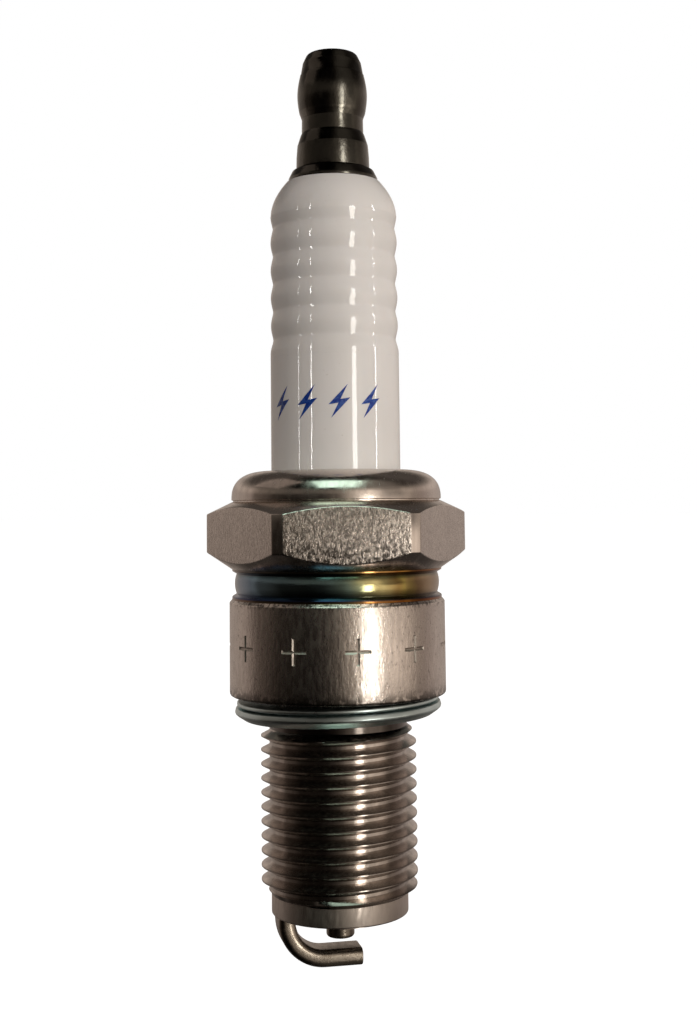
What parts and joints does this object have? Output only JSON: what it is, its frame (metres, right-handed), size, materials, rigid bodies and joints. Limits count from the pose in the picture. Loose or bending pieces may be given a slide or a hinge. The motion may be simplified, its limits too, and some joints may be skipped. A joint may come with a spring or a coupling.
{
  "type": "spark plug",
  "caption": "Spark plug with a ribbed white insulator, a hexagon shell, a crush gasket, a screwed terminal nut and a bent ground electrode.",
  "frame": {"origin": "on the axis of the thread, in the plane of the shell's seat, where the gasket bears", "axes": "+Z along the axis to the terminal, -Z to the spark gap, -Y is the front"},
  "size_m": [0.0234, 0.0218, 0.0822],
  "materials": {
    "nickel_plate": "satin nickel plate over steel, with a heat-tinted band",
    "glazed_alumina": "glazed white ceramic",
    "dark_plate": "dark oxide plate",
    "zinc_plate": "bluish zinc plate",
    "nickel_alloy": "drawn nickel alloy",
    "copper": "copper",
    "steel": "drawn steel",
    "glass_seal": "copper-filled conductive glass",
    "talc": "pressed talc powder"
  },
  "bodies": {
    "plug_body": {"shell": "nickel_plate", "insulator": "glazed_alumina", "upper_packing_ring": "steel", "talc_packing": "talc", "lower_packing_ring": "steel", "seat_washer": "copper", "centre_electrode": "nickel_alloy", "copper_core": "copper", "glass_seal": "glass_seal", "terminal_stud": "dark_plate"},
    "nut": {"terminal_nut": "dark_plate"},
    "gasket": {"crush_gasket": "zinc_plate"},
    "earth_strap": {"ground_electrode": "nickel_alloy"}
  },
  "joints": [
    {"name": "nut_unscrew", "type": "slide", "parent": "plug_body", "child": "nut", "axis": [0, 0, 1], "range_m": [0, 0.008]},
    {"name": "gasket_play", "type": "slide", "parent": "plug_body", "child": "gasket", "axis": [0, 0, -1], "range_m": [0, 0.0009]},
    {"name": "gap_setting", "type": "hinge", "parent": "plug_body", "child": "earth_strap", "pos_m": [-0.00485, -0.00103, -0.01904], "axis": [-0.2079, 0.9781, 0], "range_deg": [-3, 4]}
  ]
}
